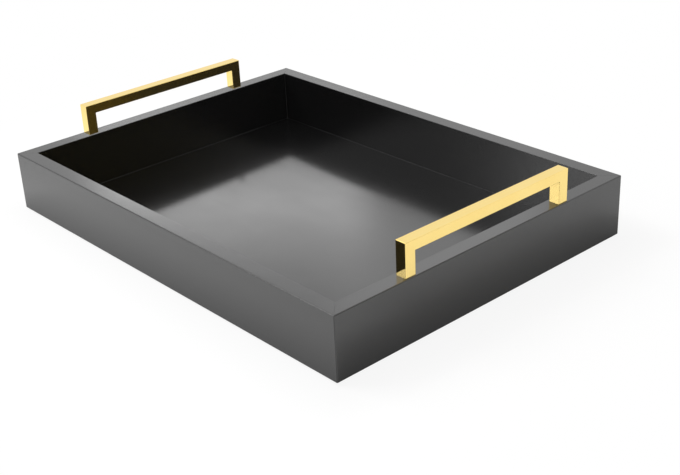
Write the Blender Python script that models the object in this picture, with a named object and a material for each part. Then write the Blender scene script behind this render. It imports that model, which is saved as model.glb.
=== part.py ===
"""A serving tray with two square bar handles, as the separate pieces that it is made of.

Four mitred walls stand round a base panel, which is let into a rabbet under their inner edges. A hidden
spline keys each corner and small pins hold the panel. Each handle stands on an end wall, and two long screws
come up through the wall into its legs. Felt pads carry the tray.

Metres, +Z up. The origin is under the middle of the tray, on the surface that it stands on. X runs along the
long walls, the front wall is at -Y and the right end wall at +X.
"""

import math

import bmesh
import bpy

# The frame of four walls
TRAY_LENGTH = 0.4191
TRAY_WIDTH = 0.3112
WALL_HEIGHT = 0.0525
WALL_THICKNESS = 0.0132
EDGE_RADIUS = 0.0012
EDGE_SEGMENTS = 3

# The base panel, and how far it reaches under the walls
PANEL_THICKNESS = 0.0040
RABBET_WIDTH = 0.0055

# The handles: a square bar on two legs
HANDLE_LENGTH = 0.1752
HANDLE_RISE = 0.0274
HANDLE_SETBACK = 0.0013
BAR_DEPTH = 0.0098
BAR_HEIGHT = 0.0085
LEG_WIDTH = 0.0096
BAR_EDGE_RADIUS = 0.0004
BAR_EDGE_SEGMENTS = 2

# The M4 screws that hold the handles, with a cross recess in their heads
SCREW_LENGTH = 0.0400
SCREW_RADIUS = 0.0020
SCREW_TIP_CHAMFER = 0.0006
SCREW_HEAD_RADIUS = 0.0035
SCREW_HEAD_HEIGHT = 0.0026
SCREW_HEAD_CHAMFER = 0.0005
RECESS_SPAN = 0.0042
RECESS_WIDTH = 0.0010
RECESS_DEPTH = 0.0014
THREAD_ENGAGEMENT = 0.0090
TAPPED_HOLE_SPARE = 0.0015
SCREW_SIDES = 24

# The washers under the screw heads
WASHER_RADIUS = 0.0040
WASHER_THICKNESS = 0.0006

# The splines across the mitred corners
SPLINE_WIDTH = 0.0100
SPLINE_THICKNESS = 0.0030
SPLINE_TOP_MARGIN = 0.0090
SPLINE_BASE_MARGIN = 0.0080
SPLINE_DEPTH_SHARE = 0.4

# The pins that hold the base panel
PIN_LENGTH = 0.0140
PIN_RADIUS = 0.0006
PIN_TIP_LENGTH = 0.0012
PIN_TIP_RADIUS = 0.0001
PIN_HEAD_RADIUS = 0.0012
PIN_HEAD_HEIGHT = 0.0006
PIN_SIDES = 12
LONG_WALL_PIN_SHARES = (-0.39, -0.13, 0.13, 0.39)
END_WALL_PIN_SHARES = (-0.25, 0.0, 0.25)

# The felt pads under the corners
PAD_RADIUS = 0.0060
PAD_THICKNESS = 0.0015
PAD_EDGE = 0.0003
PAD_INSET = 0.0140
PAD_SIDES = 32

# Fits
SEAT_GAP = 0.0003
FASTENER_GAP = 0.00015
CUT_OVERRUN = 0.0020
SMOOTH_ANGLE = math.radians(35)

# Places that follow from the sizes
UNDERSIDE_Z = PAD_THICKNESS + SEAT_GAP
RIM_Z = UNDERSIDE_Z + WALL_HEIGHT
TONGUE_THICKNESS = PANEL_THICKNESS - SEAT_GAP
WELL_LENGTH = TRAY_LENGTH - 2 * WALL_THICKNESS
WELL_WIDTH = TRAY_WIDTH - 2 * WALL_THICKNESS
HANDLE_X = TRAY_LENGTH / 2 - HANDLE_SETBACK - BAR_DEPTH / 2
LEG_Y = (HANDLE_LENGTH - LEG_WIDTH) / 2
SCREW_SEAT_Z = RIM_Z + SEAT_GAP + THREAD_ENGAGEMENT - SCREW_LENGTH
WASHER_Z = SCREW_SEAT_Z + SEAT_GAP
COUNTERBORE_TOP_Z = WASHER_Z + WASHER_THICKNESS + SEAT_GAP

ENDS = (("left", -1), ("right", 1))
SIDES = (("front", -1), ("back", 1))

# Each wall's name, its outer length, the middle of its outer face and its turn about Z
WALLS = (
    ("front_wall", TRAY_LENGTH, (0.0, -TRAY_WIDTH / 2, UNDERSIDE_Z), 0.0),
    ("right_end_wall", TRAY_WIDTH, (TRAY_LENGTH / 2, 0.0, UNDERSIDE_Z), math.radians(90)),
    ("back_wall", TRAY_LENGTH, (0.0, TRAY_WIDTH / 2, UNDERSIDE_Z), math.radians(180)),
    ("left_end_wall", TRAY_WIDTH, (-TRAY_LENGTH / 2, 0.0, UNDERSIDE_Z), math.radians(270)),
)


def clear_scene():
    for old in list(bpy.data.objects):
        bpy.data.objects.remove(old, do_unlink=True)


def finish(name, colour, roughness, metallic):
    """A plain material of one colour."""
    material = bpy.data.materials.new(name)
    material.use_nodes = True
    surface = material.node_tree.nodes["Principled BSDF"]
    surface.inputs["Base Color"].default_value = (*colour, 1.0)
    surface.inputs["Roughness"].default_value = roughness
    surface.inputs["Metallic"].default_value = metallic
    material.diffuse_color = (*colour, 1.0)
    return material


def placed(name, bm, parent, location, turn=0.0):
    """A new object of this shape at a place, with a turn about Z, and with its slight edges shaded smooth."""
    mesh = bpy.data.meshes.new(name)
    bmesh.ops.recalc_face_normals(bm, faces=bm.faces)
    bm.to_mesh(mesh)
    bm.free()
    mesh.shade_smooth()
    mesh.set_sharp_from_angle(angle=SMOOTH_ANGLE)
    piece = bpy.data.objects.new(name, mesh)
    bpy.context.scene.collection.objects.link(piece)
    piece.parent = parent
    piece.location = location
    piece.rotation_euler.z = turn
    return piece


def cutter(name, bm, parent, location, turn=0.0):
    """A shape that is only cut away from others."""
    shape = placed(name, bm, parent, location, turn)
    shape.hide_render = True
    shape.display_type = "WIRE"
    return shape


def cut(piece, shape):
    """Cuts a shape from a piece, in one Boolean with all the piece's other cuts."""
    name = f"{piece.name}_cuts"
    shapes = bpy.data.collections.get(name)
    if shapes is None:
        shapes = bpy.data.collections.new(name)
        modifier = piece.modifiers.new(name, "BOOLEAN")
        modifier.operation = "DIFFERENCE"
        modifier.solver = "EXACT"
        modifier.operand_type = "COLLECTION"
        modifier.collection = shapes
    shapes.objects.link(shape)


def block(length, width, height):
    """A box standing on z = 0, with its middle on the Z axis."""
    bm = bmesh.new()
    bmesh.ops.create_cube(bm, size=1.0)
    bmesh.ops.scale(bm, vec=(length, width, height), verts=bm.verts)
    bmesh.ops.translate(bm, vec=(0.0, 0.0, height / 2), verts=bm.verts)
    return bm


def turned(profile, sides, hollow=False):
    """A solid turned about Z from (radius, height) points, lowest first. A hollow one's profile is a loop."""
    bm = bmesh.new()
    rings = []
    for radius, height in profile:
        angles = [math.tau * step / sides for step in range(sides)]
        rings.append([bm.verts.new((radius * math.cos(a), radius * math.sin(a), height)) for a in angles])
    following = rings[1:] + rings[:1] if hollow else rings[1:]
    for lower, upper in zip(rings, following):
        for step in range(sides):
            after = (step + 1) % sides
            bm.faces.new((lower[step], lower[after], upper[after], upper[step]))
    if not hollow:
        bm.faces.new(rings[0])
        bm.faces.new(rings[-1])
    return bm


def extruded(outline, length):
    """A solid with this outline of (y, z) points, lying along X with its middle on x = 0."""
    bm = bmesh.new()
    corners = [bm.verts.new((-length / 2, y, z)) for y, z in outline]
    end = bm.faces.new(corners)
    grown = bmesh.ops.extrude_face_region(bm, geom=[end])["geom"]
    moved = [item for item in grown if isinstance(item, bmesh.types.BMVert)]
    bmesh.ops.translate(bm, vec=(length, 0.0, 0.0), verts=moved)
    return bm


def rounded(bm, edges, radius, segments):
    bmesh.ops.bevel(bm, geom=edges, offset=radius, segments=segments, profile=0.5, affect="EDGES")


def near(value, wanted):
    return math.isclose(value, wanted, abs_tol=SEAT_GAP / 10)


def sliced(bm, point, normal):
    """Cuts off everything past a plane and closes the cut."""
    everything = bm.verts[:] + bm.edges[:] + bm.faces[:]
    bmesh.ops.bisect_plane(bm, geom=everything, plane_co=point, plane_no=normal, clear_outer=True)
    open_edges = [edge for edge in bm.edges if edge.is_boundary]
    bmesh.ops.edgenet_fill(bm, edges=open_edges)


def wall_mesh(length):
    """A wall along X with rounded edges and mitred ends, its outer face on y = 0, its underside on z = 0."""
    ledge = WALL_THICKNESS - RABBET_WIDTH
    section = (
        (0.0, 0.0),
        (ledge, 0.0),
        (ledge, PANEL_THICKNESS),
        (WALL_THICKNESS, PANEL_THICKNESS),
        (WALL_THICKNESS, WALL_HEIGHT),
        (0.0, WALL_HEIGHT),
    )
    bm = extruded(section, length)
    edges = []
    for edge in bm.edges:
        on_face = all(near(v.co.y, 0.0) for v in edge.verts)
        on_rim = all(near(v.co.z, WALL_HEIGHT) for v in edge.verts)
        under_end = all(near(v.co.z, 0.0) and near(abs(v.co.x), length / 2) for v in edge.verts)
        if on_face or on_rim or under_end:
            edges.append(edge)
    rounded(bm, edges, EDGE_RADIUS, EDGE_SEGMENTS)
    joint = SEAT_GAP / 2 * math.sqrt(2)
    for end in (-1, 1):
        sliced(bm, (end * (length / 2 - joint), 0.0, 0.0), (end, 1.0, 0.0))
    return bm


def make_walls(tray, lacquer):
    walls = {}
    for name, length, middle, turn in WALLS:
        wall = placed(name, wall_mesh(length), tray, middle, turn)
        wall.data.materials.append(lacquer)
        walls[name] = wall
    return walls


def panel_mesh():
    """The floor of the well, with a slightly thinner tongue round it that reaches under the walls."""
    reach = 2 * (RABBET_WIDTH - SEAT_GAP)
    bm = block(WELL_LENGTH + reach, WELL_WIDTH + reach, TONGUE_THICKNESS)
    upper = max(bm.faces, key=lambda face: face.calc_center_median().z)
    bmesh.ops.inset_individual(bm, faces=[upper], thickness=RABBET_WIDTH, use_even_offset=True)
    grown = bmesh.ops.extrude_face_region(bm, geom=[upper])["geom"]
    bmesh.ops.delete(bm, geom=[upper], context="FACES_ONLY")
    raised = [item for item in grown if isinstance(item, bmesh.types.BMVert)]
    bmesh.ops.translate(bm, vec=(0.0, 0.0, PANEL_THICKNESS - TONGUE_THICKNESS), verts=raised)
    return bm


def make_base_panel(tray, lacquer):
    panel = placed("base_panel", panel_mesh(), tray, (0.0, 0.0, UNDERSIDE_Z))
    panel.data.materials.append(lacquer)
    return panel


def make_splines(tray, walls, birch):
    """A tongue across each mitre, nearer to the inner corner, in a slot of its own shape."""
    height = WALL_HEIGHT - SPLINE_BASE_MARGIN - SPLINE_TOP_MARGIN
    depth = WALL_THICKNESS * (1 - SPLINE_DEPTH_SHARE)
    for end_name, end in ENDS:
        for side_name, side in SIDES:
            corner = f"{side_name}_{end_name}"
            turn = math.radians(45) * -end * side
            x = end * (TRAY_LENGTH / 2 - depth)
            y = side * (TRAY_WIDTH / 2 - depth)
            z = UNDERSIDE_Z + SPLINE_BASE_MARGIN
            bm = block(SPLINE_WIDTH, SPLINE_THICKNESS, height)
            spline = placed(f"corner_spline_{corner}", bm, tray, (x, y, z), turn)
            spline.data.materials.append(birch)
            room = 2 * SEAT_GAP
            bm = block(SPLINE_WIDTH + room, SPLINE_THICKNESS + room, height + room)
            slot = cutter(f"spline_slot_{corner}", bm, tray, (x, y, z - SEAT_GAP), turn)
            cut(walls[f"{side_name}_wall"], slot)
            cut(walls[f"{end_name}_end_wall"], slot)


def handle_mesh():
    """A U of square bar across Y, its free edges lightly rounded, standing over the origin."""
    outside = HANDLE_LENGTH / 2
    inside = outside - LEG_WIDTH
    under_bar = HANDLE_RISE - BAR_HEIGHT
    outline = (
        (-outside, SEAT_GAP),
        (-outside, HANDLE_RISE),
        (outside, HANDLE_RISE),
        (outside, SEAT_GAP),
        (inside, SEAT_GAP),
        (inside, under_bar),
        (-inside, under_bar),
        (-inside, SEAT_GAP),
    )
    bm = extruded(outline, BAR_DEPTH)
    edges = []
    for edge in bm.edges:
        on_foot = all(near(v.co.z, SEAT_GAP) for v in edge.verts)
        inner_corner = all(near(v.co.z, under_bar) and near(abs(v.co.y), inside) for v in edge.verts)
        if not on_foot and not inner_corner:
            edges.append(edge)
    rounded(bm, edges, BAR_EDGE_RADIUS, BAR_EDGE_SEGMENTS)
    return bm


def make_handles(tray, gold):
    handles = {}
    for end_name, end in ENDS:
        handle = placed(f"{end_name}_handle", handle_mesh(), tray, (end * HANDLE_X, 0.0, RIM_Z))
        handle.data.materials.append(gold)
        handles[end_name] = handle
    return handles


def screw_mesh():
    """A cheese-head screw standing on its head, with the head's bearing face on z = 0."""
    profile = (
        (SCREW_HEAD_RADIUS - SCREW_HEAD_CHAMFER, -SCREW_HEAD_HEIGHT),
        (SCREW_HEAD_RADIUS, SCREW_HEAD_CHAMFER - SCREW_HEAD_HEIGHT),
        (SCREW_HEAD_RADIUS, 0.0),
        (SCREW_RADIUS, 0.0),
        (SCREW_RADIUS, SCREW_LENGTH - SCREW_TIP_CHAMFER),
        (SCREW_RADIUS - SCREW_TIP_CHAMFER, SCREW_LENGTH),
    )
    return turned(profile, SCREW_SIDES)


def screw_way_mesh():
    """The counterbore from below the tray, then the clear hole, then the tapped hole in the leg."""
    counterbore = max(WASHER_RADIUS, SCREW_HEAD_RADIUS) + SEAT_GAP
    hole = SCREW_RADIUS + SEAT_GAP
    top = SCREW_LENGTH + TAPPED_HOLE_SPARE
    seat = COUNTERBORE_TOP_Z - SCREW_SEAT_Z
    profile = (
        (counterbore, UNDERSIDE_Z - SCREW_SEAT_Z - CUT_OVERRUN),
        (counterbore, seat),
        (hole, seat),
        (hole, top),
    )
    return turned(profile, SCREW_SIDES)


def washer_mesh():
    hole = SCREW_RADIUS + FASTENER_GAP
    profile = (
        (hole, 0.0),
        (WASHER_RADIUS, 0.0),
        (WASHER_RADIUS, WASHER_THICKNESS),
        (hole, WASHER_THICKNESS),
    )
    return turned(profile, SCREW_SIDES, hollow=True)


def make_screws(tray, walls, panel, handles, steel):
    """Two screws to a handle, each with a washer, in a hole through the panel's edge, wall and leg."""
    for end_name, end in ENDS:
        for side_name, side in SIDES:
            place = f"{end_name}_{side_name}"
            spot = (end * HANDLE_X, side * LEG_Y)
            screw = placed(f"handle_screw_{place}", screw_mesh(), tray, (*spot, SCREW_SEAT_Z))
            screw.data.materials.append(steel)
            for turn in (0.0, math.radians(90)):
                bm = block(RECESS_SPAN, RECESS_WIDTH, RECESS_DEPTH + CUT_OVERRUN)
                low = SCREW_SEAT_Z - SCREW_HEAD_HEIGHT - CUT_OVERRUN
                cut(screw, cutter(f"recess_{place}", bm, tray, (*spot, low), turn))
            washer = placed(f"screw_washer_{place}", washer_mesh(), tray, (*spot, WASHER_Z))
            washer.data.materials.append(steel)
            way = cutter(f"screw_way_{place}", screw_way_mesh(), tray, (*spot, SCREW_SEAT_Z))
            for piece in (panel, walls[f"{end_name}_end_wall"], handles[end_name]):
                cut(piece, way)


def pin_mesh():
    """A headed pin standing on its head."""
    profile = (
        (PIN_HEAD_RADIUS, 0.0),
        (PIN_HEAD_RADIUS, PIN_HEAD_HEIGHT),
        (PIN_RADIUS, PIN_HEAD_HEIGHT),
        (PIN_RADIUS, PIN_LENGTH - PIN_TIP_LENGTH),
        (PIN_TIP_RADIUS, PIN_LENGTH),
    )
    return turned(profile, PIN_SIDES)


def pin_hole_mesh():
    head = PIN_HEAD_RADIUS + FASTENER_GAP
    shank = PIN_RADIUS + FASTENER_GAP
    ledge = PIN_HEAD_HEIGHT + FASTENER_GAP
    profile = (
        (head, -CUT_OVERRUN),
        (head, ledge),
        (shank, ledge),
        (shank, PIN_LENGTH + FASTENER_GAP),
    )
    return turned(profile, PIN_SIDES)


def pin_places():
    """(name, wall, x, y) of each pin, in the middle of the ledge that the panel reaches under the walls."""
    places = []
    for side_name, side in SIDES:
        for number, share in enumerate(LONG_WALL_PIN_SHARES, start=1):
            y = side * (WELL_WIDTH + RABBET_WIDTH) / 2
            places.append((f"{side_name}_{number}", f"{side_name}_wall", share * WELL_LENGTH, y))
    for end_name, end in ENDS:
        for number, share in enumerate(END_WALL_PIN_SHARES, start=1):
            x = end * (WELL_LENGTH + RABBET_WIDTH) / 2
            places.append((f"{end_name}_{number}", f"{end_name}_end_wall", x, share * 2 * LEG_Y))
    return places


def make_pins(tray, walls, panel, steel):
    for place, wall, x, y in pin_places():
        pin = placed(f"panel_pin_{place}", pin_mesh(), tray, (x, y, UNDERSIDE_Z))
        pin.data.materials.append(steel)
        hole = cutter(f"pin_hole_{place}", pin_hole_mesh(), tray, (x, y, UNDERSIDE_Z))
        cut(panel, hole)
        cut(walls[wall], hole)


def make_pads(tray, felt):
    profile = (
        (PAD_RADIUS - PAD_EDGE, 0.0),
        (PAD_RADIUS, PAD_EDGE),
        (PAD_RADIUS, PAD_THICKNESS),
    )
    for end_name, end in ENDS:
        for side_name, side in SIDES:
            x = end * (TRAY_LENGTH / 2 - PAD_INSET)
            y = side * (TRAY_WIDTH / 2 - PAD_INSET)
            pad = placed(f"foot_pad_{side_name}_{end_name}", turned(profile, PAD_SIDES), tray, (x, y, 0.0))
            pad.data.materials.append(felt)


def main():
    clear_scene()
    tray = bpy.data.objects.new("tray", None)
    bpy.context.scene.collection.objects.link(tray)
    lacquer = finish("black_lacquer", (0.020, 0.020, 0.021), 0.32, 0.0)
    gold = finish("polished_gold", (0.95, 0.64, 0.22), 0.10, 1.0)
    steel = finish("zinc_plated_steel", (0.56, 0.57, 0.58), 0.35, 1.0)
    birch = finish("birch_plywood", (0.62, 0.45, 0.27), 0.60, 0.0)
    felt = finish("black_felt", (0.030, 0.030, 0.032), 0.95, 0.0)
    walls = make_walls(tray, lacquer)
    panel = make_base_panel(tray, lacquer)
    make_splines(tray, walls, birch)
    handles = make_handles(tray, gold)
    make_screws(tray, walls, panel, handles, steel)
    make_pins(tray, walls, panel, steel)
    make_pads(tray, felt)


main()
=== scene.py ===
"""The looks of a serving tray: satin black lacquer on mitred walls, polished gold handles, and a pale studio.

Metres, +Z up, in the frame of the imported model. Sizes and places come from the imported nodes' boxes, and what
a box doesn't show is named below. Every piece is made in place, with its object at the origin.
"""

import math

import bmesh
import bpy
from mathutils import Matrix, Quaternion, Vector, noise


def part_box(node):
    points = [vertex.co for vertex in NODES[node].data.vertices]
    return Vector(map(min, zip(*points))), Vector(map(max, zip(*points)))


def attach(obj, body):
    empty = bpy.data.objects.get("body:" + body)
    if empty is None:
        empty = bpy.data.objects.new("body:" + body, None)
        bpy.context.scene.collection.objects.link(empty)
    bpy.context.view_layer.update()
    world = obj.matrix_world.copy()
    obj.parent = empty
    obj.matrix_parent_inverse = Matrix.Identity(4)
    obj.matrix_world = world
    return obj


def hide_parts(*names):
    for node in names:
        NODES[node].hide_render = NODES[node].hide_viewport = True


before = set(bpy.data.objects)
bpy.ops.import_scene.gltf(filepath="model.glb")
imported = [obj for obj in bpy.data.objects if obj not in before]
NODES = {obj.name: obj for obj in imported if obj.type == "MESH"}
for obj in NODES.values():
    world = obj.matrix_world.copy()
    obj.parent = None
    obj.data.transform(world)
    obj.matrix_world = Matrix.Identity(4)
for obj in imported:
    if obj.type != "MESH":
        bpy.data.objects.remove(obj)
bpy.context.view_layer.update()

# The camera, as fitted to the photograph's edges
CAMERA_PLACE = Vector((0.7368, -0.6060, 0.4514))
CAMERA_AIM = Vector((0.0892, -0.0421, 0.0300))
CAMERA_ROLL = math.radians(-2.776)
LENS_MM = 64.716
SENSOR_MM = 36.0

# The frame of walls
OUTER_ARRIS = 0.0009
INNER_ARRIS = 0.0006
ARRIS_SEGMENTS = 9
CORNER_FILLET = 0.0004
CORNER_SEGMENTS = 5
MITRE_GAP = 0.00008

# The tray's floor, with the bead of lacquer that lies in its corner with the walls
FLOOR_BEAD = 0.00020
FLOOR_BEAD_STEPS = 6
FLOOR_GAP = 0.00003

# The handles
LEG_WIDTH = 0.0096
BAR_HEIGHT = 0.0085
BAR_ARRIS_RADIUS = 0.00045
BAR_ARRIS_SEGMENTS = 6
FOOT_GAP = 0.00005

# The screws, with the shares of a thread's pitch at which its root, rise, crest and fall end
SCREW_RADIUS = 0.0020
SCREW_SIDES = 20
THREAD_PITCH = 0.0007
THREAD_DEPTH = 0.00038
THREAD_SHARES = (0.12, 0.5, 0.62, 1.0)
RINGS_PER_TURN = 8
TIP_THREAD_DEPTHS = 1.5
HEAD_EDGE_SHARE = 0.12
HEAD_EDGE_MIDDLE_SHARE = 0.3
RECESS_SPAN = 0.0042
RECESS_WIDTH = 0.0010
RECESS_DEPTH = 0.0014

# The washers and the holes for the screws
WASHER_SIDES = 64
WASHER_LIP_SHARE = 0.25
HOLE_SIDES = 32
HOLE_GAP = 0.0003

# The pins: radius and height as shares of the head's radius, and then radius and distance from the point as
# shares of the shank's radius
PIN_RADIUS = 0.0006
PIN_SIDES = 20
PIN_HEAD_SHARES = ((0.25, 0.0), (0.60, 0.03), (0.88, 0.10), (1.0, 0.22), (1.0, 0.42))
PIN_NECK_SHARE = 0.50
PIN_POINT_SHARES = ((1.0, 2.0), (0.6, 1.0), (0.1, 0.0))
PIN_HEAD_DEPTH = 0.0006
PIN_GAP = 0.00012

# The felt pads
PAD_SIDES = 72
PAD_EDGE = 0.0004
PAD_EDGE_STEPS = 5
PAD_FACE_SHARES = (0.02, 0.3, 0.6, 0.85)
PAD_SIDE_SHARES = (0.5, 0.75, 1.0)
PAD_GAP = 0.00001
PAD_FUZZ = 0.00006
PAD_FUZZ_SCALE = 2500

# How strongly the two lacquered faces mirror
WALL_IOR = 1.8
FLOOR_IOR = 1.66

# The photograph shows nothing of the far handle in the lacquer, so nothing mirrors it or its screws
UNMIRRORED_END = "left"

SMOOTH_ANGLE = math.radians(32)
QUARTER_TURN = math.radians(90)
ROUND_PROFILE = 0.5
FLAT_FACE_WEIGHT = 100
CUT_OVERRUN = 0.0020
TINY = 0.00001

ENDS = (("left", -1), ("right", 1))
SIDES = (("front", -1), ("back", 1))
QUADRANTS = ((1, 1), (-1, 1), (-1, -1), (1, -1))


def make_camera():
    """The photograph's viewpoint, with its slight roll."""
    data = bpy.data.cameras.new("camera")
    data.lens = LENS_MM
    data.sensor_width = SENSOR_MM
    camera = bpy.data.objects.new("camera", data)
    bpy.context.scene.collection.objects.link(camera)
    aim = (CAMERA_AIM - CAMERA_PLACE).to_track_quat("-Z", "Y").to_matrix().to_4x4()
    camera.matrix_world = Matrix.Translation(CAMERA_PLACE) @ aim @ Matrix.Rotation(CAMERA_ROLL, 4, "Z")
    bpy.context.scene.camera = camera


def near(value, wanted):
    return abs(value - wanted) < TINY


def at_corner(vert, half):
    """Whether a vertex stands at a corner of the rectangle with these half sizes."""
    return near(abs(vert.co.x), half.x) and near(abs(vert.co.y), half.y)


def on_side(vert, half):
    """Whether a vertex lies in line with a side of the rectangle with these half sizes."""
    return near(abs(vert.co.x), half.x) or near(abs(vert.co.y), half.y)


def new_object(name, bm):
    """An object of this shape, with all its faces turned outwards."""
    mesh = bpy.data.meshes.new(name)
    bmesh.ops.recalc_face_normals(bm, faces=bm.faces)
    bm.to_mesh(mesh)
    bm.free()
    obj = bpy.data.objects.new(name, mesh)
    bpy.context.scene.collection.objects.link(obj)
    return obj


def polish(obj):
    """Shades a piece so that its flats stay flat right up to its rounded edges."""
    obj.data.shade_smooth()
    obj.data.set_sharp_from_angle(angle=SMOOTH_ANGLE)
    weighted = obj.modifiers.new("flat_faces", "WEIGHTED_NORMAL")
    weighted.keep_sharp = True
    weighted.weight = FLAT_FACE_WEIGHT


def dress(obj, material, slot, *nodes):
    """Shades a piece, gives it its material, and lets it ride in place of its nodes; the slot it is given is not
    used.
    """
    polish(obj)
    obj.data.materials.clear()
    obj.data.materials.append(material)
    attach(obj, "root")
    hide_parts(*nodes)


def cut(obj, shapes):
    """Cuts shapes out of a piece for good, in one Boolean, and removes them."""
    cutters = bpy.data.collections.new("cutters")
    for shape in shapes:
        cutters.objects.link(shape)
    modifier = obj.modifiers.new("cut", "BOOLEAN")
    modifier.operation = "DIFFERENCE"
    modifier.solver = "EXACT"
    modifier.operand_type = "COLLECTION"
    modifier.collection = cutters
    bpy.context.view_layer.update()
    evaluated = obj.evaluated_get(bpy.context.evaluated_depsgraph_get())
    old = obj.data
    obj.data = bpy.data.meshes.new_from_object(evaluated)
    obj.data.name = obj.name
    obj.modifiers.clear()
    bpy.data.meshes.remove(old)
    for shape in shapes:
        mesh = shape.data
        bpy.data.objects.remove(shape)
        bpy.data.meshes.remove(mesh)
    bpy.data.collections.remove(cutters)


def block(low, high):
    """A box between two corners."""
    bm = bmesh.new()
    bmesh.ops.create_cube(bm, size=1.0)
    bmesh.ops.scale(bm, vec=high - low, verts=bm.verts)
    bmesh.ops.translate(bm, vec=(low + high) / 2, verts=bm.verts)
    return bm


def round_point(centre, radius, angle, z):
    """A place at this radius and angle round a vertical line through the centre."""
    return centre.x + radius * math.cos(angle), centre.y + radius * math.sin(angle), z


def ring(bm, centre, radii, z):
    """A closed row of vertices at one height round a vertical line, one at each of these radii."""
    row = []
    for step, radius in enumerate(radii):
        angle = math.tau * step / len(radii)
        row.append(bm.verts.new(round_point(centre, radius, angle, z)))
    return row


def skin(bm, rows, hollow=False):
    """Faces from each closed row to the next, with a cap at both ends, or from the last to the first."""
    following = rows[1:] + rows[:1] if hollow else rows[1:]
    for lower, upper in zip(rows, following):
        for first in range(len(lower)):
            second = (first + 1) % len(lower)
            bm.faces.new((lower[first], lower[second], upper[second], upper[first]))
    if not hollow:
        bm.faces.new(rows[0])
        bm.faces.new(rows[-1])


def turned(profile, sides, centre, hollow=False):
    """A solid turned about a vertical line from (radius, height) points, lowest first."""
    bm = bmesh.new()
    rows = [ring(bm, centre, [radius] * sides, z) for radius, z in profile]
    skin(bm, rows, hollow)
    return bm


def rounded(bm, edges, radius, segments):
    """Rounds these edges."""
    bmesh.ops.bevel(
        bm, geom=edges, offset=radius, segments=segments, profile=ROUND_PROFILE, affect="EDGES"
    )


def wall_sizes():
    """The outer and inner half sizes of the ring of walls, its heights, and the rabbet's half sizes."""
    wall_low, wall_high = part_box("right_end_wall")
    front_low, front_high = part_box("front_wall")
    panel_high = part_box("base_panel")[1]
    return {
        "outer": Vector((wall_high.x, -front_low.y)),
        "inner": Vector((wall_low.x, -front_high.y)),
        "under": wall_low.z,
        "rim": wall_high.z,
        "floor": panel_high.z,
        "rabbet": Vector((panel_high.x, panel_high.y)) + Vector((HOLE_GAP, HOLE_GAP)),
    }


def wall_ring(sizes):
    """All four walls as one ring with its edges rounded, before the mitre cuts."""
    section = (
        (sizes["inner"], sizes["rim"]),
        (sizes["outer"], sizes["rim"]),
        (sizes["outer"], sizes["under"]),
        (sizes["rabbet"], sizes["under"]),
        (sizes["rabbet"], sizes["floor"]),
        (sizes["inner"], sizes["floor"]),
    )
    bm = bmesh.new()
    corners = []
    for x_sign, y_sign in QUADRANTS:
        corners.append([bm.verts.new((x_sign * half.x, y_sign * half.y, z)) for half, z in section])
    skin(bm, corners, hollow=True)
    inner_corners = []
    for edge in bm.edges:
        if all(at_corner(vert, sizes["inner"]) for vert in edge.verts):
            inner_corners.append(edge)
    rounded(bm, inner_corners, CORNER_FILLET, CORNER_SEGMENTS)
    bmesh.ops.recalc_face_normals(bm, faces=bm.faces)
    outer_edges = []
    inner_edges = []
    for edge in bm.edges:
        if edge.calc_face_angle(0.0) < SMOOTH_ANGLE:
            continue
        if all(on_side(vert, sizes["outer"]) for vert in edge.verts):
            outer_edges.append(edge)
        elif all(near(vert.co.z, sizes["rim"]) for vert in edge.verts):
            inner_edges.append(edge)
    rounded(bm, inner_edges, INNER_ARRIS, ARRIS_SEGMENTS)
    rounded(bm, [edge for edge in outer_edges if edge.is_valid], OUTER_ARRIS, ARRIS_SEGMENTS)
    return bm


def mitred(walls, sizes, outward):
    """One wall of the ring, cut at both its mitres."""
    bm = walls.copy()
    along = Vector((-outward.y, outward.x, 0.0))
    for end in (-1, 1):
        normal = (end * along - outward).normalized()
        corner = Vector((*sizes["outer"], 0.0)) * (end * along + outward)
        everything = bm.verts[:] + bm.edges[:] + bm.faces[:]
        point = corner - normal * MITRE_GAP / 2
        bmesh.ops.bisect_plane(bm, geom=everything, plane_co=point, plane_no=normal, clear_outer=True)
        open_edges = [edge for edge in bm.edges if edge.is_boundary]
        bmesh.ops.edgenet_fill(bm, edges=open_edges)
    return bm


def screw_way(sizes, place):
    """The counterbore from below, the clear hole through the wall and the tapped hole in the leg."""
    low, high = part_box(f"handle_screw_{place}")
    washer_low, washer_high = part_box(f"screw_washer_{place}")
    centre = (low + high) / 2
    wide = (washer_high.x - washer_low.x) / 2 + HOLE_GAP
    narrow = SCREW_RADIUS + HOLE_GAP
    seat = washer_high.z + HOLE_GAP
    profile = (
        (wide, sizes["under"] - CUT_OVERRUN),
        (wide, seat),
        (narrow, seat),
        (narrow, high.z + HOLE_GAP),
    )
    return new_object("way", turned(profile, HOLE_SIDES, centre))


def pin_nodes(side_name=""):
    """The names of the pins along one side of the tray, or of them all."""
    return sorted(node for node in NODES if node.startswith(f"panel_pin_{side_name}"))


def pin_hole(node):
    """A hole for a pin's shank, with room for its head."""
    low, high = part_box(node)
    wide = (high.x - low.x) / 2 + PIN_GAP
    shank = PIN_RADIUS + PIN_GAP
    neck = low.z + PIN_HEAD_DEPTH + PIN_GAP
    profile = ((wide, low.z - CUT_OVERRUN), (wide, neck), (shank, neck), (shank, high.z + PIN_GAP))
    return new_object("hole", turned(profile, PIN_SIDES, (low + high) / 2))


def spline_slot(corner):
    """A slot a little larger than the spline that lies in it."""
    node = NODES[f"corner_spline_{corner}"]
    low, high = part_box(node.name)
    middle = (low + high) / 2
    growth = 1 + HOLE_GAP / (high.x - low.x)
    bm = bmesh.new()
    bm.from_mesh(node.data)
    bmesh.ops.remove_doubles(bm, verts=bm.verts, dist=TINY)
    bm.transform(Matrix.Translation(middle) @ Matrix.Scale(growth, 4) @ Matrix.Translation(-middle))
    return new_object("slot", bm)


def make_wall(node, shape, hollows, lacquer):
    """One wall, with its hollows cut out of it."""
    wall = new_object(f"{node}_lacquered", shape)
    cut(wall, hollows)
    dress(wall, lacquer, "wall_lacquer", node)


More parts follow.
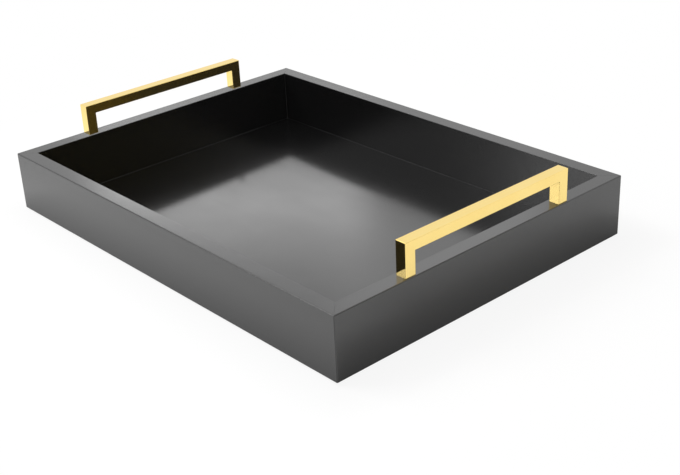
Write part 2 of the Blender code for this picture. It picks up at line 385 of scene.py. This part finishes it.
def make_walls(sizes, lacquer):
    """The four walls, with the holes and slots for what holds the tray together."""
    walls = wall_ring(sizes)
    for side_name, side in SIDES:
        hollows = [pin_hole(pin) for pin in pin_nodes(side_name)]
        hollows += [spline_slot(f"{side_name}_{end_name}") for end_name, _ in ENDS]
        shape = mitred(walls, sizes, Vector((0.0, side, 0.0)))
        make_wall(f"{side_name}_wall", shape, hollows, lacquer)
    for end_name, end in ENDS:
        hollows = [pin_hole(pin) for pin in pin_nodes(end_name)]
        hollows += [screw_way(sizes, f"{end_name}_{side_name}") for side_name, _ in SIDES]
        hollows += [spline_slot(f"{side_name}_{end_name}") for side_name, _ in SIDES]
        shape = mitred(walls, sizes, Vector((end, 0.0, 0.0)))
        make_wall(f"{end_name}_end_wall", shape, hollows, lacquer)
    walls.free()


def rounded_rectangle(bm, half, radius, z, steps):
    """A closed row of vertices round a rectangle with rounded corners, at one height."""
    row = []
    for number, (x_sign, y_sign) in enumerate(QUADRANTS):
        centre = Vector((x_sign * (half.x - radius), y_sign * (half.y - radius)))
        for step in range(steps + 1):
            angle = QUARTER_TURN * (number + step / steps)
            row.append(bm.verts.new(round_point(centre, radius, angle, z)))
    return row


def make_floor_panel(sizes, lacquer):
    """The tray's floor on its tongue, with a hollow bead of lacquer up against the walls."""
    bm = bmesh.new()
    tongue_top = sizes["floor"] - HOLE_GAP
    tongue = sizes["rabbet"] - Vector((HOLE_GAP, HOLE_GAP))
    edge = sizes["inner"] - Vector((FLOOR_GAP, FLOOR_GAP))
    rows = [
        rounded_rectangle(bm, tongue, CORNER_FILLET, sizes["under"], CORNER_SEGMENTS),
        rounded_rectangle(bm, tongue, CORNER_FILLET, tongue_top, CORNER_SEGMENTS),
        rounded_rectangle(bm, edge, CORNER_FILLET, tongue_top, CORNER_SEGMENTS),
    ]
    for step in range(FLOOR_BEAD_STEPS + 1):
        angle = QUARTER_TURN * step / FLOOR_BEAD_STEPS
        inset = FLOOR_BEAD * (1 - math.cos(angle))
        height = sizes["floor"] + FLOOR_BEAD * (1 - math.sin(angle))
        half = edge - Vector((inset, inset))
        rows.append(rounded_rectangle(bm, half, CORNER_FILLET - inset, height, CORNER_SEGMENTS))
    skin(bm, rows)
    panel = new_object("floor_panel_lacquered", bm)
    hollows = [pin_hole(node) for node in pin_nodes()]
    for end_name, _ in ENDS:
        hollows += [screw_way(sizes, f"{end_name}_{side_name}") for side_name, _ in SIDES]
    cut(panel, hollows)
    dress(panel, lacquer, "panel_lacquer", "base_panel")


def handle_shape(low, high, foot_z):
    """A U of square bar between these corners, its free edges lightly rounded."""
    outline = (
        (low.y, foot_z),
        (low.y, high.z),
        (high.y, high.z),
        (high.y, foot_z),
        (high.y - LEG_WIDTH, foot_z),
        (high.y - LEG_WIDTH, high.z - BAR_HEIGHT),
        (low.y + LEG_WIDTH, high.z - BAR_HEIGHT),
        (low.y + LEG_WIDTH, foot_z),
    )
    bm = bmesh.new()
    face = bm.faces.new([bm.verts.new((low.x, y, z)) for y, z in outline])
    grown = bmesh.ops.extrude_face_region(bm, geom=[face])["geom"]
    moved = [item for item in grown if isinstance(item, bmesh.types.BMVert)]
    bmesh.ops.translate(bm, vec=(high.x - low.x, 0.0, 0.0), verts=moved)
    edges = [edge for edge in bm.edges if not all(near(vert.co.z, foot_z) for vert in edge.verts)]
    rounded(bm, edges, BAR_ARRIS_RADIUS, BAR_ARRIS_SEGMENTS)
    return bm


def make_handles(sizes, gold):
    """Both handles, with the tapped holes in their legs."""
    for end_name, _ in ENDS:
        low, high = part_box(f"{end_name}_handle")
        handle = new_object(f"{end_name}_handle_gold", handle_shape(low, high, sizes["rim"] + FOOT_GAP))
        cut(handle, [screw_way(sizes, f"{end_name}_{side_name}") for side_name, _ in SIDES])
        dress(handle, gold, "handle_gold", f"{end_name}_handle")
        handle.visible_glossy = end_name != UNMIRRORED_END


def thread_radius(share):
    """The radius of a screw thread at this share of its pitch: root, flank, crest, flank."""
    root_end, rise_end, crest_end, fall_end = THREAD_SHARES
    if share < root_end:
        height = 0.0
    elif share < rise_end:
        height = (share - root_end) / (rise_end - root_end)
    elif share < crest_end:
        height = 1.0
    else:
        height = (fall_end - share) / (fall_end - crest_end)
    return SCREW_RADIUS - THREAD_DEPTH * (1 - height)


def screw_shape(low, high, head_top):
    """A cheese-head screw with a real thread, standing on its head."""
    centre = (low + high) / 2
    head = (high.x - low.x) / 2
    edge = head * HEAD_EDGE_SHARE
    profile = (
        (head - edge, low.z),
        (head - edge * HEAD_EDGE_MIDDLE_SHARE, low.z + edge * HEAD_EDGE_MIDDLE_SHARE),
        (head, low.z + edge),
        (head, head_top),
        (SCREW_RADIUS - THREAD_DEPTH, head_top),
    )
    bm = bmesh.new()
    rows = [ring(bm, centre, [radius] * SCREW_SIDES, z) for radius, z in profile]
    tip = SCREW_RADIUS - THREAD_DEPTH * TIP_THREAD_DEPTHS
    shank = high.z - head_top
    count = int(shank / THREAD_PITCH * RINGS_PER_TURN)
    for number in range(1, count + 1):
        z = head_top + shank * number / count
        to_tip = min(1.0, (high.z - z) / SCREW_RADIUS)
        radii = []
        for step in range(SCREW_SIDES):
            share = ((z - head_top) / THREAD_PITCH - step / SCREW_SIDES) % 1.0
            radii.append(tip + (thread_radius(share) - tip) * to_tip)
        rows.append(ring(bm, centre, radii, z))
    skin(bm, rows)
    return bm


def recess_bars(low, high):
    """Two crossed bars, which cut the recess into the head of the screw between these corners."""
    centre = (low + high) / 2
    span = Vector((RECESS_SPAN, RECESS_WIDTH)) / 2
    bars = []
    for reach in (span, span.yx):
        corner = Vector((centre.x - reach.x, centre.y - reach.y, low.z - CUT_OVERRUN))
        other = Vector((centre.x + reach.x, centre.y + reach.y, low.z + RECESS_DEPTH))
        bars.append(new_object("recess", block(corner, other)))
    return bars


def washer_shape(low, high):
    """A flat ring with its edges broken."""
    outer = (high.x - low.x) / 2
    hole = SCREW_RADIUS + PIN_GAP
    lip = (high.z - low.z) * WASHER_LIP_SHARE
    profile = (
        (hole, low.z + lip),
        (hole + lip, low.z),
        (outer - lip, low.z),
        (outer, low.z + lip),
        (outer, high.z - lip),
        (outer - lip, high.z),
        (hole + lip, high.z),
        (hole, high.z - lip),
    )
    return turned(profile, WASHER_SIDES, (low + high) / 2, hollow=True)


def make_screws(steel):
    """Four threaded screws with a cross recess, and their washers."""
    for end_name, _ in ENDS:
        for side_name, _ in SIDES:
            screw_node = f"handle_screw_{end_name}_{side_name}"
            washer_node = f"screw_washer_{end_name}_{side_name}"
            low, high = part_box(screw_node)
            washer_low, washer_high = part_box(washer_node)
            shape = screw_shape(low, high, washer_low.z - HOLE_GAP)
            screw = new_object(f"{screw_node}_threaded", shape)
            cut(screw, recess_bars(low, high))
            dress(screw, steel, "fastener_steel", screw_node)
            screw.visible_glossy = end_name != UNMIRRORED_END
            washer = new_object(f"{washer_node}_zinc", washer_shape(washer_low, washer_high))
            dress(washer, steel, "fastener_steel", washer_node)


def make_pins(steel):
    """Small pins with a slightly domed, chamfered head and a drawn point."""
    for node in pin_nodes():
        low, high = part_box(node)
        head = (high.x - low.x) / 2
        profile = [(head * out, low.z + head * up) for out, up in PIN_HEAD_SHARES]
        profile.append((PIN_RADIUS, low.z + head * PIN_NECK_SHARE))
        profile += [(PIN_RADIUS * out, high.z - PIN_RADIUS * down) for out, down in PIN_POINT_SHARES]
        pin = new_object(f"{node}_steel", turned(profile, PIN_SIDES, (low + high) / 2))
        dress(pin, steel, "fastener_steel", node)


def pad_shape(low, high, top):
    """A disc of felt with a soft, slightly frayed edge."""
    centre = (low + high) / 2
    radius = (high.x - low.x) / 2 - PAD_FUZZ
    profile = [(radius * share, low.z) for share in PAD_FACE_SHARES]
    for step in range(PAD_EDGE_STEPS + 1):
        angle = QUARTER_TURN * step / PAD_EDGE_STEPS
        out = radius - PAD_EDGE * (1 - math.sin(angle))
        profile.append((out, low.z + PAD_EDGE * (1 - math.cos(angle))))
    profile += [(radius, low.z + (top - low.z) * share) for share in PAD_SIDE_SHARES]
    bm = turned(profile, PAD_SIDES, centre)
    for vert in bm.verts:
        out = Vector((vert.co.x - centre.x, vert.co.y - centre.y, 0.0))
        if out.length > radius / 2 and low.z < vert.co.z < top:
            vert.co += out.normalized() * PAD_FUZZ * noise.noise(vert.co * PAD_FUZZ_SCALE)
    return bm


def make_pads(sizes, felt):
    """The felt pads, stuck to the underside."""
    for end_name, _ in ENDS:
        for side_name, _ in SIDES:
            node = f"foot_pad_{side_name}_{end_name}"
            low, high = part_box(node)
            pad = new_object(f"{node}_felt", pad_shape(low, high, sizes["under"] - PAD_GAP))
            dress(pad, felt, "pad_felt", node)


# The materials: linear colours, noise scales per metre, and relief in metres. A pair is a range.
SHARES = (0.0, 1.0)
USUAL_NOISE = (0.3, 0.7)
UNSCALED = 1.0
USUAL_SPECULAR = 0.5
# The largest part of a normal along any axis, on a rounded edge and on a flat face
EDGE_NORMALS = (0.75, 0.99)

LACQUER_SHADES = ((0.0035, 0.0035, 0.0038), (0.0055, 0.0054, 0.0054))
LACQUER_SHADE_SCALE = 9.0
LACQUER_CLOUD_SCALE = 14.0
LACQUER_ROUGHNESS = (0.18, 0.205)
LACQUER_WIPES = (12.0, 120.0, 120.0)
LACQUER_WIPED_ROUGHNESS = (-0.006, 0.006)
LACQUER_WAVE_SCALE = 55.0
LACQUER_WAVE_DEPTH = 0.00003
LACQUER_PEEL_SCALE = 650.0
LACQUER_PEEL_DEPTH = 0.000005
RUBBED_SHADE = (0.012, 0.011, 0.010)
RUBBED_SCALE = 160.0
RUBBED_NOISE = (0.5, 0.7)
RUBBED_ROUGHNESS = 0.16

GOLD_SHADES = ((1.0, 0.765, 0.285), (0.99, 0.74, 0.255))
GOLD_SHADE_SCALE = 40.0
GOLD_CLOUD_SCALE = 90.0
GOLD_ROUGHNESS = (0.045, 0.085)
GOLD_BUFFING = (1800.0, 60.0, 1800.0)
GOLD_BUFFED_ROUGHNESS = (-0.015, 0.015)
GOLD_BUFFED_DEPTH = 0.0000010
GOLD_RIPPLE_SCALE = 70.0
GOLD_RIPPLE_DEPTH = 0.00003

ZINC_SHADES = ((0.50, 0.51, 0.52), (0.66, 0.67, 0.68))
ZINC_SPANGLE_SCALE = 900.0
ZINC_SPANGLE_DEPTH = 0.000006
ZINC_CLOUD_SCALE = 500.0
ZINC_ROUGHNESS = (0.24, 0.42)

BIRCH_SHADES = ((0.66, 0.49, 0.31), (0.50, 0.35, 0.20))
BIRCH_ROUGHNESS = 0.6
BIRCH_GRAIN = (900.0, 900.0, 40.0)
BIRCH_GRAIN_DEPTH = 0.00004
PLY_SCALE = 320.0
PLY_DISTORTION = 1.5
PLY_WAVES = (0.4, 0.9)
PLY_GLUE_SHARES = (0.0, 0.6)
PLY_GLUE_SHADE = (0.38, 0.25, 0.14)

FELT_SHADES = ((0.012, 0.012, 0.013), (0.055, 0.054, 0.055))
FELT_ROUGHNESS = 0.95
FELT_SHEEN = 0.4
FELT_SHEEN_ROUGHNESS = 0.5
FELT_FLUFF_AND_GLINT_RANGE = (0.12, 0.45)
FELT_MAT_SCALE = 2200.0
FELT_MAT_STRETCH = (1.0, 1.6, 0.8)
FELT_MAT_DEPTH = 0.00015
FELT_FIBRE_SCALE = 5200.0
FELT_FIBRE_STRETCH = (0.3, 1.8, 1.0)
FELT_FIBRE_DEPTH = 0.00008


class Nodes:
    """Builds a node tree. A value may be a number, a colour, a vector or what another node gives."""

    def __init__(self, tree):
        self.tree = tree

    def node(self, kind):
        return self.tree.nodes.new(kind)

    def feed(self, socket, value):
        if isinstance(value, bpy.types.NodeSocket):
            self.tree.links.new(value, socket)
        else:
            socket.default_value = value

    def result(self, node, values, output):
        """What a node gives for these values on its first sockets."""
        for socket, value in zip(node.inputs, values):
            self.feed(socket, value)
        return node.outputs[output]

    def maths(self, operation, *values):
        node = self.node("ShaderNodeMath")
        node.operation = operation
        return self.result(node, values, "Value")

    def vector_maths(self, operation, *values):
        """A vector, or for LENGTH a number."""
        node = self.node("ShaderNodeVectorMath")
        node.operation = operation
        return self.result(node, values, "Value" if operation == "LENGTH" else "Vector")

    def mixed(self, share, first, second):
        """A shader between two others."""
        return self.result(self.node("ShaderNodeMixShader"), (share, first, second), "Shader")

    def ranged(self, value, wanted, usual=USUAL_NOISE):
        """The value's usual range turned into the wanted one, without overshoot."""
        node = self.node("ShaderNodeMapRange")
        return self.result(node, (value, *usual, *wanted), "Result")

    def seen_share(self, seen, mirrored, far=None):
        """How much of a surface's own white the camera, mirrors and glass see: all of it where it is far."""
        rays = self.node("ShaderNodeLightPath").outputs
        largest = 0.0
        for kind, share in (("Camera", seen), ("Glossy", mirrored), ("Transmission", seen)):
            if far is not None:
                share = self.maths("MULTIPLY_ADD", far, 1 - share, share)
            part = self.maths("MULTIPLY", rays[f"Is {kind} Ray"], share)
            largest = self.maths("MAXIMUM", largest, part)
        return largest


class Material(Nodes):
    """A node material that is built up from procedural textures in the tray's own metres."""

    def __init__(self, name):
        self.material = bpy.data.materials.new(name)
        self.material.use_nodes = True
        super().__init__(self.material.node_tree)
        self.surface = self.tree.nodes["Principled BSDF"]
        self.place = self.node("ShaderNodeTexCoord").outputs["Object"]

    def set(self, **values):
        """Sets the surface's own sockets, with _ for a space in their names."""
        for name, value in values.items():
            self.feed(self.surface.inputs[name.replace("_", " ")], value)

    def noise(self, scale, detail=2.0, roughness=0.5, stretch=None):
        """A cloudy value, whose pattern is scaled along each axis where stretch says so."""
        texture = self.node("ShaderNodeTexNoise")
        texture.inputs["Scale"].default_value = scale
        texture.inputs["Detail"].default_value = detail
        texture.inputs["Roughness"].default_value = roughness
        place = self.place
        if stretch:
            mapping = self.node("ShaderNodeMapping")
            mapping.inputs["Scale"].default_value = stretch
            self.feed(mapping.inputs["Vector"], place)
            place = mapping.outputs["Vector"]
        self.feed(texture.inputs["Vector"], place)
        return texture.outputs["Fac"]

    def blend(self, share, first, second):
        """A colour between two others."""
        node = self.node("ShaderNodeMix")
        node.data_type = "RGBA"
        self.feed(node.inputs["Factor"], share)
        for name, colour in (("A", first), ("B", second)):
            self.feed(node.inputs[name], (*colour, 1.0) if isinstance(colour, tuple) else colour)
        return node.outputs["Result"]

    def bump(self, height, distance, below=None):
        """Relief of this depth in metres, on top of other relief."""
        node = self.node("ShaderNodeBump")
        node.inputs["Distance"].default_value = distance
        self.feed(node.inputs["Height"], height)
        if below is not None:
            self.feed(node.inputs["Normal"], below)
        return node.outputs["Normal"]

    def edges(self):
        """1 on rounded edges and 0 on the faces that lie along the axes."""
        parts = self.node("ShaderNodeSeparateXYZ")
        self.feed(parts.inputs["Vector"], self.node("ShaderNodeNewGeometry").outputs["Normal"])
        sizes = [self.maths("ABSOLUTE", parts.outputs[axis]) for axis in "XYZ"]
        largest = self.maths("MAXIMUM", self.maths("MAXIMUM", sizes[0], sizes[1]), sizes[2])
        return self.ranged(largest, (1.0, 0.0), EDGE_NORMALS)


def black_lacquer(name, ior):
    """Satin black lacquer: a faint orange peel, soft wipe marks, and edges rubbed a little duller."""
    make = Material(name)
    patchy = make.ranged(make.noise(RUBBED_SCALE, detail=4.0, roughness=0.6), SHARES, RUBBED_NOISE)
    shade = make.blend(make.ranged(make.noise(LACQUER_SHADE_SCALE, detail=3.0), SHARES), *LACQUER_SHADES)
    shade = make.blend(make.maths("MULTIPLY", make.edges(), patchy), shade, RUBBED_SHADE)
    cloudy = make.ranged(make.noise(LACQUER_CLOUD_SCALE, detail=4.0, roughness=0.55), LACQUER_ROUGHNESS)
    wipes = make.noise(UNSCALED, detail=3.0, roughness=0.6, stretch=LACQUER_WIPES)
    rough = make.maths("ADD", cloudy, make.ranged(wipes, LACQUER_WIPED_ROUGHNESS))
    rough = make.maths("ADD", rough, make.maths("MULTIPLY", make.edges(), RUBBED_ROUGHNESS))
    waves = make.bump(make.noise(LACQUER_WAVE_SCALE, detail=1.0), LACQUER_WAVE_DEPTH)
    orange_peel = make.bump(make.noise(LACQUER_PEEL_SCALE, detail=1.0), LACQUER_PEEL_DEPTH, waves)
    make.set(IOR=ior, Specular_IOR_Level=USUAL_SPECULAR)
    make.set(Base_Color=shade, Roughness=rough, Normal=orange_peel)
    return make.material


def polished_gold():
    """Polished gold plating with faint buffing lines along the bar and a slight cloudiness."""
    make = Material("polished_gold")
    shade = make.blend(make.ranged(make.noise(GOLD_SHADE_SCALE, detail=3.0), SHARES), *GOLD_SHADES)
    buffed = make.noise(UNSCALED, detail=3.0, roughness=0.6, stretch=GOLD_BUFFING)
    cloudy = make.ranged(make.noise(GOLD_CLOUD_SCALE, detail=3.0), GOLD_ROUGHNESS)
    rough = make.maths("ADD", cloudy, make.ranged(buffed, GOLD_BUFFED_ROUGHNESS))
    ripple = make.bump(make.noise(GOLD_RIPPLE_SCALE, detail=1.0), GOLD_RIPPLE_DEPTH)
    relief = make.bump(buffed, GOLD_BUFFED_DEPTH, ripple)
    make.set(Metallic=1.0, Base_Color=shade, Roughness=rough, Normal=relief)
    return make.material


def zinc_steel():
    """Bright zinc plating with a faint mottle."""
    make = Material("zinc_steel")
    spangle = make.noise(ZINC_SPANGLE_SCALE, detail=3.0, roughness=0.6)
    shade = make.blend(make.ranged(spangle, SHARES), *ZINC_SHADES)
    rough = make.ranged(make.noise(ZINC_CLOUD_SCALE, detail=3.0), ZINC_ROUGHNESS)
    make.set(Metallic=1.0, Base_Color=shade, Roughness=rough, Normal=make.bump(spangle, ZINC_SPANGLE_DEPTH))
    return make.material


def birch_plywood():
    """Raw birch in thin plies, with pores along the grain."""
    make = Material("birch_plywood")
    plies = make.node("ShaderNodeTexWave")
    plies.inputs["Scale"].default_value = PLY_SCALE
    plies.inputs["Distortion"].default_value = PLY_DISTORTION
    make.feed(plies.inputs["Vector"], make.place)
    grain = make.noise(UNSCALED, detail=4.0, roughness=0.6, stretch=BIRCH_GRAIN)
    wood = make.blend(make.ranged(grain, SHARES), *BIRCH_SHADES)
    glue = make.ranged(plies.outputs["Fac"], PLY_GLUE_SHARES, PLY_WAVES)
    shade = make.blend(glue, wood, PLY_GLUE_SHADE)
    make.set(Roughness=BIRCH_ROUGHNESS, Base_Color=shade, Normal=make.bump(grain, BIRCH_GRAIN_DEPTH))
    return make.material


def black_felt():
    """Pressed wool felt: matted fibres, some of them lighter in colour, as fluff and as a painted glint of
    light.
    """
    make = Material("black_felt")
    matted = make.noise(FELT_MAT_SCALE, detail=4.0, roughness=0.7, stretch=FELT_MAT_STRETCH)
    fibres = make.noise(FELT_FIBRE_SCALE, detail=3.0, roughness=0.7, stretch=FELT_FIBRE_STRETCH)
    # Lighter fibres: partly fluff, partly a painted glint where fibres would catch the light
    fluff_and_glint = make.ranged(make.maths("MULTIPLY", matted, fibres), SHARES, FELT_FLUFF_AND_GLINT_RANGE)
    relief = make.bump(fibres, FELT_FIBRE_DEPTH, make.bump(matted, FELT_MAT_DEPTH))
    make.set(Roughness=FELT_ROUGHNESS, Sheen_Weight=FELT_SHEEN, Sheen_Roughness=FELT_SHEEN_ROUGHNESS)
    make.set(Base_Color=make.blend(fluff_and_glint, *FELT_SHADES), Normal=relief)
    return make.material


# The table that the tray stands on. Its own white is seen less near the tray, so that the shadow shows.
TABLE_HALF_SIZE = 12.0
# A painted contact shade: the table's colour is grey at the tray's outline and white a little way out
TABLE_PAINTED_SHADE_GREYS = (0.58, 0.95)
TABLE_PAINTED_SHADE_REACH = (0.0, 0.045)
TABLE_WHITE_REACH = (0.04, 0.22)
TABLE_SEEN_SHARE = 0.90
TABLE_MIRRORED_SHARE = 0.18

# The white room, as shares of white
WHITE = (1.0, 1.0, 1.0, 1.0)
SKY_ON_OBJECT = 0.48
SKY_WHITE = 1.0
SKY_SEEN = 1.0
SKY_MIRRORED = 0.90

# The power of an area light of one square metre, for a radiance of 1
AREA_LIGHT_WATTS = 4.0
# The soft lights: name, azimuth, elevation and roll in degrees as seen from the tray's middle, distance,
# width and height in metres, and radiance as a share of white
SOFTBOXES = (
    ("key_softbox", 240.0, 25.0, 0.0, 1.6, 0.45, 0.36, 5.8),
    ("back_strip", 145.4, 24.0, -4.0, 3.6, 1.03, 0.19, 2.75),
    ("back_softbox", 131.5, 30.0, 0.0, 3.0, 0.67, 0.53, 0.42),
    ("overhead_softbox", 209.0, 66.0, 0.0, 2.4, 2.0, 1.8, 1.1),
    ("table_softbox", 215.0, 45.0, 0.0, 2.4, 1.2, 1.0, 8.4),
)
# The lights that are for the lacquer, past the handles, and the one that is for the table alone
LACQUER_LIGHTS = ("key_softbox", "back_strip", "back_softbox")
TABLE_LIGHT = "table_softbox"

# The dark brown card keeps the white room out of the right-hand reflections
CARD_COLOUR = (0.33, 0.275, 0.10, 1.0)
CARD_ROUGHNESS = 0.9
CARD_AZIMUTH = 23.0
CARD_DISTANCE = 2.6
CARD_WIDTH = 1.5
CARD_LOW = 0.44
CARD_HIGH = 2.1


def direction(azimuth, elevation):
    """A unit vector at this azimuth from +X and this elevation, in degrees."""
    turn = math.radians(azimuth)
    rise = math.radians(elevation)
    return Vector((math.cos(turn) * math.cos(rise), math.sin(turn) * math.cos(rise), math.sin(rise)))


def make_softboxes():
    """The soft lights, all aimed at the tray's middle and unseen by the camera."""
    for name, azimuth, elevation, roll, distance, width, height, radiance in SOFTBOXES:
        data = bpy.data.lights.new(name, "AREA")
        data.shape = "RECTANGLE"
        data.size = width
        data.size_y = height
        data.energy = AREA_LIGHT_WATTS * width * height * radiance
        light = bpy.data.objects.new(name, data)
        bpy.context.scene.collection.objects.link(light)
        way = direction(azimuth, elevation)
        light.location = way * distance
        rolled = way.to_track_quat("Z", "Y") @ Quaternion((0.0, 0.0, 1.0), math.radians(roll))
        light.rotation_euler = rolled.to_euler()
        light.visible_camera = False


def linked(name, pieces, state):
    """A collection by which a light takes only these pieces in, or leaves them out."""
    collection = bpy.data.collections.new(name)
    for piece in pieces:
        collection.objects.link(bpy.data.objects[piece])
    for entry in collection.collection_objects:
        entry.light_linking.link_state = state
    return collection


def link_lights():
    """Lets the lacquer's lights past the handles, and gives the table its own."""
    handles = [f"{end_name}_handle_gold" for end_name, _ in ENDS]
    for name in LACQUER_LIGHTS:
        linking = bpy.data.objects[name].light_linking
        linking.receiver_collection = linked(f"{name}_unlit", handles, "EXCLUDE")
        linking.blocker_collection = linked(f"{name}_let_past", handles, "EXCLUDE")
    linking = bpy.data.objects[TABLE_LIGHT].light_linking
    linking.receiver_collection = linked(f"{TABLE_LIGHT}_lit", ["studio_floor"], "INCLUDE")


def outline_ramp(make, sizes, reach, values):
    """A value that runs through this range as the distance from the tray's outline runs through its own."""
    place = make.node("ShaderNodeTexCoord").outputs["Object"]
    away = make.vector_maths("SUBTRACT", make.vector_maths("ABSOLUTE", place), (*sizes["outer"], 0.0))
    outside = make.vector_maths("MAXIMUM", away, (0.0, 0.0, 0.0))
    return make.ranged(make.vector_maths("LENGTH", outside), values, reach)


def make_floor(sizes):
    """A white table that keeps part of the tray's shadow, with a painted contact shade that greys it right round
    the tray.
    """
    bm = bmesh.new()
    bmesh.ops.create_grid(bm, x_segments=1, y_segments=1, size=TABLE_HALF_SIZE)
    table = new_object("studio_floor", bm)
    material = bpy.data.materials.new("studio_white")
    material.use_nodes = True
    make = Nodes(material.node_tree)
    make.tree.nodes.clear()
    lit = make.node("ShaderNodeBsdfDiffuse")
    # The painted contact shade, grey right round the tray
    make.feed(lit.inputs["Color"], outline_ramp(make, sizes, TABLE_PAINTED_SHADE_REACH, TABLE_PAINTED_SHADE_GREYS))
    glow = make.node("ShaderNodeEmission")
    far = outline_ramp(make, sizes, TABLE_WHITE_REACH, SHARES)
    share = make.seen_share(TABLE_SEEN_SHARE, TABLE_MIRRORED_SHARE, far)
    surface = make.mixed(share, lit.outputs["BSDF"], glow.outputs["Emission"])
    make.feed(make.node("ShaderNodeOutputMaterial").inputs["Surface"], surface)
    table.data.materials.append(material)


def make_card():
    """A dark card on the right, unseen by the camera, as product studios use for black lacquer."""
    bm = bmesh.new()
    middle = direction(CARD_AZIMUTH, 0.0) * CARD_DISTANCE
    across = Vector((-middle.y, middle.x, 0.0)).normalized() * CARD_WIDTH / 2
    corners = []
    for side, height in ((-1, CARD_LOW), (1, CARD_LOW), (1, CARD_HIGH), (-1, CARD_HIGH)):
        corners.append(bm.verts.new(middle + across * side + Vector((0.0, 0.0, height))))
    bm.faces.new(corners)
    card = new_object("studio_card", bm)
    make = Material("studio_brown")
    make.set(Base_Color=CARD_COLOUR, Roughness=CARD_ROUGHNESS)
    card.data.materials.append(make.material)
    card.visible_camera = False


def make_world():
    """White where it is seen or mirrored, and dimmer as a light on the object."""
    world = bpy.data.worlds.new("studio")
    bpy.context.scene.world = world
    world.use_nodes = True
    make = Nodes(world.node_tree)
    make.tree.nodes.clear()
    skies = []
    for strength in (SKY_ON_OBJECT, SKY_WHITE):
        skies.append(make.result(make.node("ShaderNodeBackground"), (WHITE, strength), "Background"))
    surface = make.mixed(make.seen_share(SKY_SEEN, SKY_MIRRORED), *skies)
    make.feed(make.node("ShaderNodeOutputWorld").inputs["Surface"], surface)


def refinish_splines(birch):
    """The hidden splines keep their CAD shape and get real plywood."""
    for name, node in NODES.items():
        if name.startswith("corner_spline_"):
            node.data.materials.clear()
            node.data.materials.append(birch)


make_camera()
sizes = wall_sizes()
make_walls(sizes, black_lacquer("wall_lacquer", WALL_IOR))
make_floor_panel(sizes, black_lacquer("floor_lacquer", FLOOR_IOR))
make_handles(sizes, polished_gold())
steel = zinc_steel()
make_screws(steel)
make_pins(steel)
make_pads(sizes, black_felt())
refinish_splines(birch_plywood())
make_floor(sizes)
make_card()
make_world()
make_softboxes()
link_lights()
bpy.context.scene.view_settings.view_transform = "Standard"
